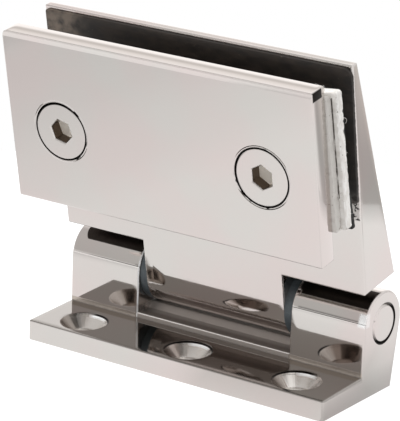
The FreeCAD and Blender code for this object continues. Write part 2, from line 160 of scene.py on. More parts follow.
# Surroundings that the steel mirrors, for three sides of the room: height above the horizon in
# degrees, light level and warmth. The dark line is the far edge of the bench. Azimuths are degrees.
studio = {
    "frontAzimuth": -32,
    "front": [(-90, 1.0, 0.0), (-30, 1.05, 0.0), (-12, 1.2, 0.0), (1, 1.15, 0.0), (6, 0.60, 0.02),
              (45, 0.62, 0.02), (60, 0.62, 0.01), (90, 0.8, 0.0)],
    "left": [(-90, 0.9, 0.0), (-20, 1.0, 0.0), (0, 1.2, 0.01), (12, 1.44, 0.01), (22, 1.44, 0.01),
             (28, 0.86, 0.03), (32, 0.88, 0.03), (38, 1.2, 0.02), (50, 1.45, 0.0), (90, 0.9, 0.0)],
    "right": [(-90, 0.9, 0.0), (-19, 1.0, 0.0), (-17.4, 0.51, 0.02), (-16, 0.53, 0.02),
              (-14.5, 0.72, 0.04), (0, 0.80, 0.02), (30, 1.0, 0.0), (90, 0.9, 0.0)],
    "sideFade": 0.25,                # how far left and right run into each other
    "frontFade": (-0.1, 0.35),       # where the front takes over from both
    "window": (140.0, 116.0, 1.1),   # azimuths between which the right side brightens, and its level
    "edgeHeight": 7.5,
    "edgeWidth": 3.5,
    "edgeShade": 0.72,
    "edgeLevel": 0.05,
    "edgeFades": (-34.0, -31.0),     # azimuths between which the bench edge comes in
    "diffuseLevel": 0.75,
}


def makeWorld(values):
    world = bpy.data.worlds.new("studio")
    bpy.context.scene.world = world
    world.use_nodes = True
    tree = world.node_tree
    tree.nodes.clear()
    direction = addNode(tree, "ShaderNodeTexCoord").outputs["Generated"]
    parts = addNode(tree, "ShaderNodeSeparateXYZ", {"Vector": direction}).outputs
    angle = addNode(tree, "ShaderNodeMath", {0: parts["Z"]}, operation="ARCSINE").outputs[0]
    share = addNode(tree, "ShaderNodeMapRange", {"Value": angle, "From Min": -math.pi / 2,
                                                 "From Max": math.pi / 2}).outputs["Result"]
    sides = {}
    for side in ("front", "left", "right"):
        stops = [((el + 90) / 180, grey(level, warmth)) for el, level, warmth in values[side]]
        sides[side] = addNode(tree, "ShaderNodeValToRGB", {"Fac": share}, stops).outputs["Color"]
    rightShare = addNode(tree, "ShaderNodeMapRange", {
        "Value": parts["X"], "From Min": -values["sideFade"], "From Max": values["sideFade"]},
        interpolation_type="SMOOTHSTEP").outputs["Result"]
    behind = addNode(tree, "ShaderNodeMix", {"Factor": rightShare, "A": sides["left"], "B": sides["right"]},
                     data_type="RGBA").outputs["Result"]
    forward = addNode(tree, "ShaderNodeMath", {0: parts["Y"], 1: -1.0}, operation="MULTIPLY").outputs[0]
    azimuth = addNode(tree, "ShaderNodeMath", {0: parts["X"], 1: forward}, operation="ARCTAN2").outputs[0]
    start, full, level = values["window"]
    opened = addNode(tree, "ShaderNodeMapRange", {"Value": azimuth, "From Min": math.radians(start),
                                                  "From Max": math.radians(full)},
                     interpolation_type="SMOOTHSTEP").outputs["Result"]
    opened = addNode(tree, "ShaderNodeMath", {0: opened, 1: rightShare}, operation="MULTIPLY").outputs[0]
    behind = addNode(tree, "ShaderNodeMix", {"Factor": opened, "A": behind, "B": grey(level)},
                     data_type="RGBA").outputs["Result"]
    turn = math.radians(values["frontAzimuth"])
    toFront = addNode(tree, "ShaderNodeVectorMath", {0: direction, 1: (math.sin(turn), -math.cos(turn), 0)},
                      operation="DOT_PRODUCT").outputs["Value"]
    start, full = values["frontFade"]
    weight = addNode(tree, "ShaderNodeMapRange", {"Value": toFront, "From Min": start, "From Max": full},
                     interpolation_type="SMOOTHSTEP").outputs["Result"]
    seen = addNode(tree, "ShaderNodeMix", {"Factor": weight, "A": behind, "B": sides["front"]},
                   data_type="RGBA").outputs["Result"]

    # the bench edge: a dark line round one height, only where the right-hand knuckle mirrors it
    start, full = (math.radians(at) for at in values["edgeFades"])
    there = addNode(tree, "ShaderNodeMapRange", {"Value": azimuth, "From Min": start, "From Max": full},
                    interpolation_type="SMOOTHSTEP").outputs["Result"]
    aside = addNode(tree, "ShaderNodeMath", {0: angle, 1: math.radians(values["edgeHeight"])},
                    operation="SUBTRACT").outputs[0]
    aside = addNode(tree, "ShaderNodeMath", {0: aside}, operation="ABSOLUTE").outputs[0]
    line = addNode(tree, "ShaderNodeMapRange", {
        "Value": aside, "From Min": 0.0, "From Max": math.radians(values["edgeWidth"]),
        "To Min": values["edgeShade"], "To Max": 0.0}, interpolation_type="SMOOTHSTEP").outputs["Result"]
    shade = addNode(tree, "ShaderNodeMath", {0: there, 1: line}, operation="MULTIPLY").outputs[0]
    seen = addNode(tree, "ShaderNodeMix", {"Factor": shade, "A": seen, "B": grey(values["edgeLevel"])},
                   data_type="RGBA").outputs["Result"]

    path = addNode(tree, "ShaderNodeLightPath").outputs
    mirrored = addNode(tree, "ShaderNodeBackground", {"Color": seen})
    plain = addNode(tree, "ShaderNodeBackground", {"Color": grey(values["diffuseLevel"])})
    white = addNode(tree, "ShaderNodeBackground", {"Color": grey(1.0)})
    lit = addNode(tree, "ShaderNodeMixShader", {0: path["Is Diffuse Ray"], 1: mirrored.outputs[0],
                                                2: plain.outputs[0]})
    final = addNode(tree, "ShaderNodeMixShader", {0: path["Is Camera Ray"], 1: lit.outputs[0],
                                                  2: white.outputs[0]})
    addNode(tree, "ShaderNodeOutputWorld", {"Surface": final.outputs[0]})


makeWorld(studio)

# White paper ground: a round sheet that glows with its own light for the steel's reflections. That
# glow is painted to fall off towards the front left, with painted shade close beside the right end of the base.
ground = {
    "radius": 0.2007,
    "below": 0.02 * mm,             # under the base
    "rim": (0.180, 0.2007, 0.56),   # the sheet's edge lies in shade: from, to, level there
    "camera": (0.80, 0.35),         # own light and diffuse share for the camera
    "mirror": (0.75, 0.25),         # the same for the steel's reflections
    "fallAzimuth": -55,
    "falloff": [(0.0, 1.03), (0.03, 1.03), (0.05, 1.0), (0.08, 0.95), (0.10, 0.85), (0.12, 0.78),
                (0.14, 0.68), (0.165, 0.62), (0.200, 0.57)],
    # painted shade on the sheet close beside the right end of the base
    "paintedShadeBesideEnd": [(0.0, 0.58), (0.004, 0.66), (0.010, 0.90), (0.018, 1.0)],
}


def makeGround(values):
    mesh = bpy.data.meshes.new("ground")
    shape = bmesh.new()
    bmesh.ops.create_circle(shape, cap_ends=True, radius=values["radius"], segments=roundCount)
    shape.to_mesh(mesh)
    shape.free()
    made = bpy.data.objects.new("ground", mesh)
    bpy.context.scene.collection.objects.link(made)
    made.location.z = cadBox[0].z - values["below"]
    material, tree, output = newMaterial("whitePaper")
    place = addNode(tree, "ShaderNodeNewGeometry").outputs["Position"]
    turn = math.radians(values["fallAzimuth"])
    reach = addNode(tree, "ShaderNodeVectorMath", {0: place, 1: (math.sin(turn), -math.cos(turn), 0)},
                    operation="DOT_PRODUCT").outputs["Value"]
    share = addNode(tree, "ShaderNodeMath", {0: reach, 1: values["radius"]}, operation="DIVIDE").outputs[0]
    stops = [(at / values["radius"], grey(level)) for at, level in values["falloff"]]
    fall = addNode(tree, "ShaderNodeValToRGB", {"Fac": share}, stops).outputs["Color"]
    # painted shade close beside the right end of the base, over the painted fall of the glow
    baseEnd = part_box("base_bracket")[1][0]
    sideways = addNode(tree, "ShaderNodeSeparateXYZ", {"Vector": place}).outputs["X"]
    span = values["paintedShadeBesideEnd"][-1][0]
    away = addNode(tree, "ShaderNodeMapRange", {"Value": sideways, "From Min": baseEnd,
                                                "From Max": baseEnd + span}).outputs["Result"]
    stops = [(at / span, grey(level)) for at, level in values["paintedShadeBesideEnd"]]
    beside = addNode(tree, "ShaderNodeValToRGB", {"Fac": away}, stops).outputs["Color"]
    past = addNode(tree, "ShaderNodeMath", {0: sideways, 1: baseEnd - 1 * mm}, operation="GREATER_THAN")
    fall = addNode(tree, "ShaderNodeMix", {"Factor": past.outputs[0], "A": fall, "B": beside},
                   data_type="RGBA", blend_type="MULTIPLY").outputs["Result"]
    middle = addNode(tree, "ShaderNodeVectorMath", {0: place}, operation="LENGTH").outputs["Value"]
    start, stop, level = values["rim"]
    rim = addNode(tree, "ShaderNodeMapRange", {"Value": middle, "From Min": start, "From Max": stop,
                                               "To Min": 1.0, "To Max": level}).outputs["Result"]
    fall = addNode(tree, "ShaderNodeVectorMath", {0: fall, "Scale": rim}, operation="SCALE").outputs["Vector"]
    path = addNode(tree, "ShaderNodeLightPath").outputs
    shades = []
    for own, diffuse, color in ((*values["mirror"], fall), (*values["camera"], grey(1.0))):
        glow = addNode(tree, "ShaderNodeEmission", {"Color": color, "Strength": own})
        matt = addNode(tree, "ShaderNodeBsdfDiffuse", {"Color": grey(diffuse)})
        both = addNode(tree, "ShaderNodeAddShader", {0: glow.outputs[0], 1: matt.outputs[0]})
        shades.append(both.outputs[0])
    final = addNode(tree, "ShaderNodeMixShader", {0: path["Is Camera Ray"], 1: shades[0], 2: shades[1]})
    tree.links.new(final.outputs[0], output.inputs["Surface"])
    mesh.materials.append(material)


makeGround(ground)

# Soft lamps: one large above and in front, one smaller behind.
lamps = [
    {"name": "keyLamp", "place": (-0.35, -0.45, 0.65), "size": 0.5, "watts": 5.0},
    {"name": "rearLamp", "place": (0.30, 0.55, 0.50), "size": 0.4, "watts": 2.0},
]


def makeLamp(values):
    data = bpy.data.lights.new(values["name"], "AREA")
    data.size = values["size"]
    data.energy = values["watts"]
    made = bpy.data.objects.new(values["name"], data)
    made.location = values["place"]
    made.rotation_mode = "QUATERNION"
    made.rotation_quaternion = (-Vector(values["place"])).to_track_quat("-Z", "Y")
    made.visible_glossy = False
    bpy.context.scene.collection.objects.link(made)


for lamp in lamps:
    makeLamp(lamp)
print("camera, studio and ground made")

# Stainless steel, machined and buffed to a mirror: sharp reflections, slightly wavy, that bend where
# the wheel rolled the faces off near their edges. What the wheel can't reach stays satin and darker.
steel = {
    "color": "D3CFCB",
    "blush": "D6CCC9",            # faint pink clouds left by the buffing wax
    "cloudSize": 24 * mm,
    "roughness": 0.045,
    "hazeSize": 5 * mm,
    "rollWidth": 2.4 * mm,        # how far in from an edge the face starts to fall away
    "rollShare": 0.16,
    "edgeWidth": 0.45 * mm,
    "waveLength": 17 * mm,
    "waveHeight": 0.006 * mm,
}


zoneSoft = 0.03 * mm    # half the width over which a zone's border fades


def zoneMask(tree, place, zone):
    # Where a zone lies: inside a box, inside a ring about an axis, or both. It may be slanted (shear),
    # repeated (fold), kept to one side of the ring (lean) or broken up by noise.
    if "shear" in zone:
        parts = addNode(tree, "ShaderNodeSeparateXYZ", {"Vector": place}).outputs
        shift = addNode(tree, "ShaderNodeMath", {0: parts["Z"], 1: zone["shear"]}, operation="MULTIPLY")
        shift = addNode(tree, "ShaderNodeCombineXYZ", {"X": shift.outputs[0]})
        place = addNode(tree, "ShaderNodeVectorMath", {0: place, 1: shift.outputs[0]}).outputs[0]
    if "fold" in zone:
        parts = addNode(tree, "ShaderNodeSeparateXYZ", {"Vector": place}).outputs
        across = parts["X"]
        for shift in zone["fold"]:
            across = addNode(tree, "ShaderNodeMath", {0: across}, operation="ABSOLUTE").outputs[0]
            across = addNode(tree, "ShaderNodeMath", {0: across, 1: shift}, operation="SUBTRACT").outputs[0]
        place = addNode(tree, "ShaderNodeCombineXYZ", {
            "X": across, "Y": parts["Y"], "Z": parts["Z"]}).outputs[0]
    soft = zone.get("soft", zoneSoft)
    shares, outwards = [], None
    if "box" in zone:
        low, high = (Vector(corner) for corner in zone["box"])
        offset = addNode(tree, "ShaderNodeVectorMath", {0: place, 1: (low + high) / 2}, operation="SUBTRACT")
        offset = addNode(tree, "ShaderNodeVectorMath", {0: offset.outputs[0]}, operation="ABSOLUTE")
        offset = addNode(tree, "ShaderNodeVectorMath", {0: offset.outputs[0], 1: (high - low) / 2},
                         operation="SUBTRACT")
        parts = addNode(tree, "ShaderNodeSeparateXYZ", {"Vector": offset.outputs[0]}).outputs
        most = addNode(tree, "ShaderNodeMath", {0: parts["X"], 1: parts["Y"]}, operation="MAXIMUM").outputs[0]
        most = addNode(tree, "ShaderNodeMath", {0: most, 1: parts["Z"]}, operation="MAXIMUM").outputs[0]
        shares.append(addNode(tree, "ShaderNodeMapRange", {
            "Value": most, "From Min": -soft, "From Max": soft, "To Min": 1.0, "To Max": 0.0},
            interpolation_type="SMOOTHSTEP").outputs["Result"])
    if "ring" in zone:
        inner, outer = zone["ring"]
        flat = [0.0 if axis == zone["axis"] else 1.0 for axis in "XYZ"]
        offset = addNode(tree, "ShaderNodeVectorMath", {0: place, 1: zone["about"]}, operation="SUBTRACT")
        offset = addNode(tree, "ShaderNodeVectorMath", {0: offset.outputs[0], 1: flat}, operation="MULTIPLY")
        radius = addNode(tree, "ShaderNodeVectorMath", {0: offset.outputs[0]}, operation="LENGTH")
        shares.append(addNode(tree, "ShaderNodeMapRange", {
            "Value": radius.outputs["Value"], "From Min": outer - soft, "From Max": outer + soft,
            "To Min": 1.0, "To Max": 0.0}, interpolation_type="SMOOTHSTEP").outputs["Result"])
        if inner > 0:
            shares.append(addNode(tree, "ShaderNodeMapRange", {
                "Value": radius.outputs["Value"], "From Min": inner - soft, "From Max": inner + soft},
                interpolation_type="SMOOTHSTEP").outputs["Result"])
        outwards = addNode(tree, "ShaderNodeVectorMath", {0: offset.outputs[0]},
                           operation="NORMALIZE").outputs[0]
    if "lean" in zone:
        towards, start, end = zone["lean"]
        side = addNode(tree, "ShaderNodeVectorMath", {0: outwards, 1: towards}, operation="DOT_PRODUCT")
        shares.append(addNode(tree, "ShaderNodeMapRange", {
            "Value": side.outputs["Value"], "From Min": start, "From Max": end}).outputs["Result"])
    if "broken" in zone:
        grain, start, end = zone["broken"]
        spots = addNode(tree, "ShaderNodeTexNoise", {"Vector": place, "Scale": 1 / grain, "Detail": 2.0})
        shares.append(addNode(tree, "ShaderNodeMapRange", {
            "Value": spots.outputs[0], "From Min": start, "From Max": end}).outputs["Result"])
    mask = shares[0]
    for share in shares[1:]:
        mask = addNode(tree, "ShaderNodeMath", {0: mask, 1: share}, operation="MULTIPLY").outputs[0]
    return mask, place, outwards


def addHeights(tree, heights):
    total = heights[0]
    for height in heights[1:]:
        total = addNode(tree, "ShaderNodeMath", {0: total, 1: height}, operation="ADD").outputs[0]
    return total


def zoneHeights(tree, spot, outwards, zone):
    # the heights that a zone adds: a plane, a plane that starts softly, straight tool marks or spokes
    raised = []
    if "slope" in zone:
        offset = addNode(tree, "ShaderNodeVectorMath", {0: spot, 1: zone.get("from", (0, 0, 0))},
                         operation="SUBTRACT")
        raised.append(addNode(tree, "ShaderNodeVectorMath", {0: offset.outputs[0], 1: zone["slope"]},
                              operation="DOT_PRODUCT").outputs["Value"])
    if "bend" in zone:
        axis, start, spread, slope = zone["bend"]
        along = addNode(tree, "ShaderNodeVectorMath", {0: spot, 1: axis}, operation="DOT_PRODUCT")
        past = addNode(tree, "ShaderNodeMath", {0: along.outputs["Value"], 1: start}, operation="SUBTRACT")
        past = addNode(tree, "ShaderNodeMath", {0: past.outputs[0], 1: 0.0, 2: spread}, operation="SMOOTH_MAX")
        raised.append(addNode(tree, "ShaderNodeMath", {0: past.outputs[0], 1: slope},
                              operation="MULTIPLY").outputs[0])
    # noise stretched along the tool's path, or running outwards
    patterns = []
    if "marks" in zone:
        spacing, deep = zone["marks"]
        scaled = addNode(tree, "ShaderNodeVectorMath", {0: spot, 1: [1 / step for step in spacing]},
                         operation="MULTIPLY")
        patterns.append((scaled.outputs[0], 1.0, 2.0, deep))
    if "spokes" in zone:
        count, deep = zone["spokes"]
        patterns.append((outwards, count, 1.0, deep))
    for vector, scale, detail, deep in patterns:
        lines = addNode(tree, "ShaderNodeTexNoise", {"Vector": vector, "Scale": scale, "Detail": detail})
        raised.append(addNode(tree, "ShaderNodeMath", {0: lines.outputs[0], 1: deep},
                              operation="MULTIPLY").outputs[0])
    return raised


def layZones(tree, output, place, values, color, levels, heights, zones):
    # lays the zones over the plain surface, each with its own colour, roughness, slope or tool marks
    for zone in zones:
        mask, spot, outwards = zoneMask(tree, place, zone)
        if "color" in zone:
            color = addNode(tree, "ShaderNodeMix", {"Factor": mask, "A": color, "B": hexColor(zone["color"])},
                            data_type="RGBA").outputs["Result"]
        for key in levels:
            if key in zone:
                levels[key] = addNode(tree, "ShaderNodeMix", {"Factor": mask, "A": levels[key], "B": zone[key]},
                                      data_type="FLOAT").outputs["Result"]
        raised = zoneHeights(tree, spot, outwards, zone)
        if raised:
            heights.append(addNode(tree, "ShaderNodeMath", {0: addHeights(tree, raised), 1: mask},
                                   operation="MULTIPLY").outputs[0])
    uneven = addNode(tree, "ShaderNodeBump", {"Height": addHeights(tree, heights), "Strength": 1.0,
                                              "Distance": 1.0})
    normal = uneven.outputs[0]
    if "edgeWidth" in values:
        edge = addNode(tree, "ShaderNodeBevel", {"Radius": values["edgeWidth"], "Normal": normal}, samples=4)
        roll = addNode(tree, "ShaderNodeBevel", {"Radius": values["rollWidth"]}, samples=6)
        bent = addNode(tree, "ShaderNodeMix", {"Factor": levels["roll"], "A": edge.outputs[0],
                                               "B": roll.outputs[0]}, data_type="VECTOR")
        bent = addNode(tree, "ShaderNodeVectorMath", {0: bent.outputs["Result"]}, operation="NORMALIZE")
        normal = bent.outputs[0]
    shader = addNode(tree, "ShaderNodeBsdfPrincipled", {
        "Base Color": color, "Metallic": levels["metallic"], "Roughness": levels["roughness"],
        "Normal": normal})
    tree.links.new(shader.outputs[0], output.inputs["Surface"])


def objectPlace(tree, onLeaf):
    # a point of the mesh, in the upright leaf's directions for what the leaf carries
    place = addNode(tree, "ShaderNodeTexCoord").outputs["Object"]
    if onLeaf:
        place = addNode(tree, "ShaderNodeMapping", {
            "Vector": place, "Location": joint["pos_m"], "Rotation": (lean, 0, 0)},
            vector_type="TEXTURE").outputs[0]
    return place


def polishedSteel(name, zones, onLeaf, changes=None):
    values = {**steel, **(changes or {})}
    material, tree, output = newMaterial(name)
    place = objectPlace(tree, onLeaf)
    clouds = addNode(tree, "ShaderNodeTexNoise", {"Vector": place, "Scale": 1 / values["cloudSize"],
                                                  "Detail": 3.0, "Roughness": 0.45})
    share = addNode(tree, "ShaderNodeMapRange", {
        "Value": clouds.outputs[0], "From Min": 0.38, "From Max": 0.62})
    color = addNode(tree, "ShaderNodeMix", {
        "Factor": share.outputs["Result"], "A": hexColor(values["color"]), "B": hexColor(values["blush"])},
        data_type="RGBA").outputs["Result"]
    haze = addNode(tree, "ShaderNodeTexNoise", {
        "Vector": place, "Scale": 1 / values["hazeSize"], "Detail": 3.0})
    roughness = addNode(tree, "ShaderNodeMapRange", {
        "Value": haze.outputs[0], "From Min": 0.3, "From Max": 0.7, "To Min": values["roughness"] * 0.7,
        "To Max": values["roughness"] * 1.4}).outputs["Result"]
    wave = addNode(tree, "ShaderNodeTexNoise", {"Vector": place, "Scale": 1 / values["waveLength"],
                                                "Detail": 1.0, "Roughness": 0.3})
    height = addNode(tree, "ShaderNodeMath", {0: wave.outputs[0], 1: values["waveHeight"]},
                     operation="MULTIPLY")
    levels = {"roughness": roughness, "metallic": 1.0, "roll": values["rollShare"]}
    layZones(tree, output, place, values, color, levels, [height.outputs[0]], zones)
    return material


def dressNode(name, material):
    mesh = nodes[name].data
    mesh.materials.clear()
    mesh.materials.append(material)


# The bracket: mirror bright outside, milled satin in the slot, drilled countersinks, and painted
# highlights, reflections and shade on its flange, knuckles, slot, foot strips and countersink rims.
bracketLow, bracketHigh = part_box("base_bracket")
bracket = {
    "slotHalf": 23.6 * mm,
    "knuckleFront": 10.6 * mm,
    "hollowTop": 19.9 * mm,       # the knuckles' fronts are ground a little hollow up to here
    "flangeEdge": 5.0 * mm,       # height of the flange's top at its front, and at the knuckles
    "flangeRoot": 6.05 * mm,
    "footReflectionBand": 1.2 * mm,        # height of the painted reflection band along the knuckles' foot
    "ledgeTop": 7.4 * mm,
    "slotTop": 9.15 * mm,
    "sinkRadius": 6.33 * mm,
    "holePitch": 33 * mm,
    "pinGroove": (4.55 * mm, 5.47 * mm),
}


def grooveZone(values, start):
    # a dark ring between pin and knuckle, darkest low at the back
    return {"about": joint["pos_m"], "axis": "X", "ring": values["pinGroove"], "color": "1C1917",
            "roughness": 0.5, "lean": ((0, 0.75, -0.66), start, 0.1)}


def bracketZones(values):
    front, root, half = values["knuckleFront"], values["flangeRoot"], values["slotHalf"]
    end, low, radius = bracketHigh.x, bracketLow.y, values["sinkRadius"]
    edge, foot = values["flangeEdge"], root + values["footReflectionBand"]
    sink = {"fold": (values["holePitch"] / 2,) * 2, "about": (0, 0, 0), "axis": "Z"}
    return [
        # flange top: painted a dimmer reflection, a little rougher, and it mirrors as if flatter
        {"box": ((-end, low, edge), (end, front, root + 0.1 * mm)), "color": "A09B97", "roughness": 0.06,
         "slope": (0, -0.036, 0)},
        # painted lighter reflection towards the right end of the flange top
        {"box": ((12 * mm, low, edge), (end + 20 * mm, front, root + 0.1 * mm)), "color": "ACA7A2",
         "soft": 14 * mm},
        # knuckle fronts: ground a little hollow
        {"box": ((-end, front - 0.2 * mm, root), (end, front + 0.5 * mm, values["hollowTop"])),
         "slope": (0, 0, 0.050), "soft": 0.07 * mm},
        # and rolled off towards the slot on the right knuckle, with a painted white highlight at its outer corner
        {"box": ((half, front - 0.2 * mm, root), (half + 3 * mm, front + 3 * mm, 24 * mm)),
         "bend": ((-1, 0, 0), -half - 1.6 * mm, 1.2 * mm, -0.10)},
        {"box": ((end - 2.1 * mm, front - 0.4 * mm, 19.2 * mm), (end - 0.1 * mm, front + 2.0 * mm, 22.3 * mm)),
         "color": "FFFFFF", "roughness": 0.35, "metallic": 0.4, "soft": 0.45 * mm},
        # foot strip: satin with tool marks, painted as the light brown reflection of a rounded foot
        {"box": ((-end, front - 0.1 * mm, root), (end, front + 0.1 * mm, foot)),
         "color": "B9AFA6", "roughness": 0.22, "slope": (0, 0, -0.10), "from": (0, 0, foot),
         "marks": ((9 * mm, 1 * mm, 0.25 * mm), 0.02 * mm)},
        # inner edge of the left knuckle: a painted white highlight
        {"box": ((-half - 0.32 * mm, front - 0.1 * mm, root), (-half - 0.03 * mm, front + 4 * mm, 27 * mm)),
         "color": "FFFFFF", "roughness": 0.45, "metallic": 0.2},
        # slot: milled floor, ledge and heel, with painted shade at the floor's front and a painted highlight along
        # the ledge's front edge
        {"box": ((-half, front - 0.3 * mm, root), (half, 40 * mm, values["slotTop"])), "color": "A8A09A",
         "roughness": 0.50, "metallic": 0.55, "marks": ((14 * mm, 0.35 * mm, 0.35 * mm), 0.02 * mm)},
        {"box": ((-half, front + 0.2 * mm, root), (half, front + 3.2 * mm, values["slotTop"])),
         "color": "7A716B", "soft": 1.2 * mm},
        {"box": ((-half, front - 0.2 * mm, values["ledgeTop"] - 0.25 * mm),
                 (half, front + 0.3 * mm, values["ledgeTop"] + 0.1 * mm)), "color": "F2EEEA", "roughness": 0.4},
        # drilled countersinks, with painted shade on their front side
        {**sink, "ring": (0, radius), "color": "E6E1DC", "roughness": 0.27, "spokes": (7.0, 0.06 * mm)},
        {**sink, "ring": (0, radius), "lean": ((0, -1, 0), 0.0, 0.5), "color": "8A7F77"},
        # their rims: a painted dark reflection line at the back, with a painted highlight beside it
        {**sink, "ring": (radius - 0.8 * mm, radius - 0.2 * mm), "soft": 0.1 * mm,
         "lean": ((-0.1, 1, 0), 0.86, 0.96), "color": "FFFFFF", "roughness": 0.3, "metallic": 0.5},
        {**sink, "ring": (radius - 0.30 * mm, radius + 0.12 * mm), "soft": 0.07 * mm,
         "lean": ((-0.75, 0.66, 0), 0.2, 0.6), "color": "1F1B18"},
        grooveZone(values, -1.0),
    ]


dressNode("base_bracket", polishedSteel("polishedSteelBracket", bracketZones(bracket), False))
pinZones = [grooveZone(bracket, -0.75)]
dressNode("hinge_pin", polishedSteel("polishedSteelPin", pinZones, False, {"rollShare": 0.05}))

# The leaf: its underside is satin with tool marks and painted dark as shade, and below the liner
# a painted white reflection carries crumbs of rubber.
leafHigh = leafBox("leaf_body")[1]
plateLow, plateHigh = leafBox("front_plate")
screwLow, screwHigh = leafBox("right_clamp_screw")
screwSpot = Vector(((screwLow.x + screwHigh.x) / 2, plateLow.y, (screwLow.z + screwHigh.z) / 2))
leaf = {
    "foot": 11.8 * mm,
    "face": -8.6 * mm,
    "tongueHalf": 21.3 * mm,
}


def leafZones(values):
    end, foot, face, tongue = leafHigh.x, values["foot"], values["face"], values["tongueHalf"]
    return [
        # underside: satin with tool marks, painted dark as the shade under the leaf
        {"fold": (0,), "box": ((tongue + 0.2 * mm, face - 1 * mm, foot - 0.5 * mm),
                               (end + 1 * mm, 20 * mm, foot + 0.25 * mm)),
         "color": "34302D", "roughness": 0.42, "marks": ((0.4 * mm, 9 * mm, 0.4 * mm), 0.02 * mm)},
        # the face is buffed a little round above the pin
        {"box": ((-beyond, face - 0.2 * mm, -6 * mm), (beyond, face + 0.6 * mm, 40 * mm)),
         "bend": ((0, 0, 1), 1.2 * mm, 2.4 * mm, -0.060)},
        # and flatter again low down at the tongue's left end
        {"box": ((-30 * mm, face - 0.2 * mm, -6 * mm), (-18.8 * mm, face + 0.6 * mm, 11 * mm)),
         "slope": (0, 0, 0.060), "from": (0, 0, 8 * mm), "soft": 3.5 * mm},
        # the back stays flat behind the tapped holes
        {"fold": (0,), "box": ((screwSpot.x - 8 * mm, face + 3 * mm, screwSpot.z - 8 * mm),
                               (screwSpot.x + 8 * mm, 40 * mm, screwSpot.z + 8 * mm)), "roll": 0.0},
        # painted white reflection below the liner, with crumbs
        {"box": ((end - 3.4 * mm, face - 0.3 * mm, 32.6 * mm), (end - 0.4 * mm, face + 0.2 * mm, 37.6 * mm)),
         "color": "F4F0EC", "roughness": 0.6, "metallic": 0.1, "soft": 0.5 * mm},
        {"box": ((end - 2.4 * mm, face - 0.3 * mm, 32.6 * mm), (end - 0.3 * mm, face + 0.2 * mm, 38.2 * mm)),
         "color": "231F1D", "roughness": 0.6, "broken": (1.1 * mm, 0.55, 0.60), "soft": 0.1 * mm},
    ]


dressNode("leaf_body", polishedSteel("polishedSteelLeaf", leafZones(leaf), True))

# The front plate: black grooves round the screw heads, made uneven in width by a painted dark
# reflection, with a slight burr outside them, painted shade on its top face, and a painted dark
# reflection at the upper right corner of its end.
plate = {
    "sink": (7.85 * mm, 4.5 * mm),   # radius of the screws' holes at the front and at the back
    "burrOutside": 8.25 * mm,
    # how far the painted dark reflection reaches outside the groove
    "darkReflectionOutside": 8.15 * mm,
    "groove": "171412",
    "topBand": 1.5 * mm,             # the front is buffed back over this height at its top
}


def plateZones(values):
    zones = []
    for side in (-1, 1):
        ring = {"about": (side * screwSpot.x, 0, screwSpot.z), "axis": "Y"}
        hole = values["sink"][0]
        zones += [
            {**ring, "ring": (hole, values["burrOutside"]), "soft": 0.12 * mm, "slope": (0.0, 0.0, -0.12),
             "from": ring["about"]},
            # painted dark reflection of the countersink's rounding, uneven round the groove
            {**ring, "ring": (hole - 0.3 * mm, values["darkReflectionOutside"]), "soft": 0.06 * mm,
             "color": values["groove"], "roughness": 0.4, "broken": (4.5 * mm, 0.60, 0.66)},
            {**ring, "ring": (0, hole), "color": values["groove"], "roughness": 0.55},
        ]
    front, back, end, top = plateLow.y, plateHigh.y, plateHigh.x, plateHigh.z
    band = top - values["topBand"]
    return zones + [
        {"box": ((-beyond, front - 0.1 * mm, band), (beyond, front + 0.1 * mm, top - 0.1 * mm)),
         "soft": 0.15 * mm, "slope": (0, 0, -0.12), "from": (0, 0, band)},
        # top face: painted shade, a little darker, and not rolled off
        {"box": ((-beyond, front + 0.3 * mm, top - 0.15 * mm), (beyond, 0, beyond)), "color": "CCC5C1",
         "roll": 0.0},
        # painted dark reflection at the upper right corner of the end
        {"box": ((end - 0.2 * mm, front + 0.2 * mm, top - 2.4 * mm),
                 (end + 0.2 * mm, back - 1.3 * mm, top - 0.1 * mm)),
         "color": "24211F", "roughness": 0.3, "soft": 0.12 * mm},
    ]


plateMaterial = polishedSteel("polishedSteelPlate", plateZones(plate), True, {"rollShare": 0.10})

# Clamp screws: turned heads with fine scratches, dark rims that are darker on one side, and hexagon
# sockets painted with shade on their walls and light on their floors.
screws = {
    "head": 7.5 * mm,             # radii
    "headRim": 0.12 * mm,
    "shank": 4.0 * mm,
    "tip": 0.4 * mm,
    "coneDepth": 3.9 * mm,
    "socket": 5.6 * mm,           # across the flats
    "socketRim": 0.28 * mm,
    "socketDepth": 3.3 * mm,
    "drillDepth": 0.8 * mm,       # of the drill's point below the socket
    "turn": {"left_clamp_screw": 47, "right_clamp_screw": 30},   # degrees to a corner of the socket
    "sharp": 27,
    # painted shade on the socket's walls and painted light on its floor
    "shadedWallColor": "6B5F54",
    "litFloorColor": "FFF6EA",
}


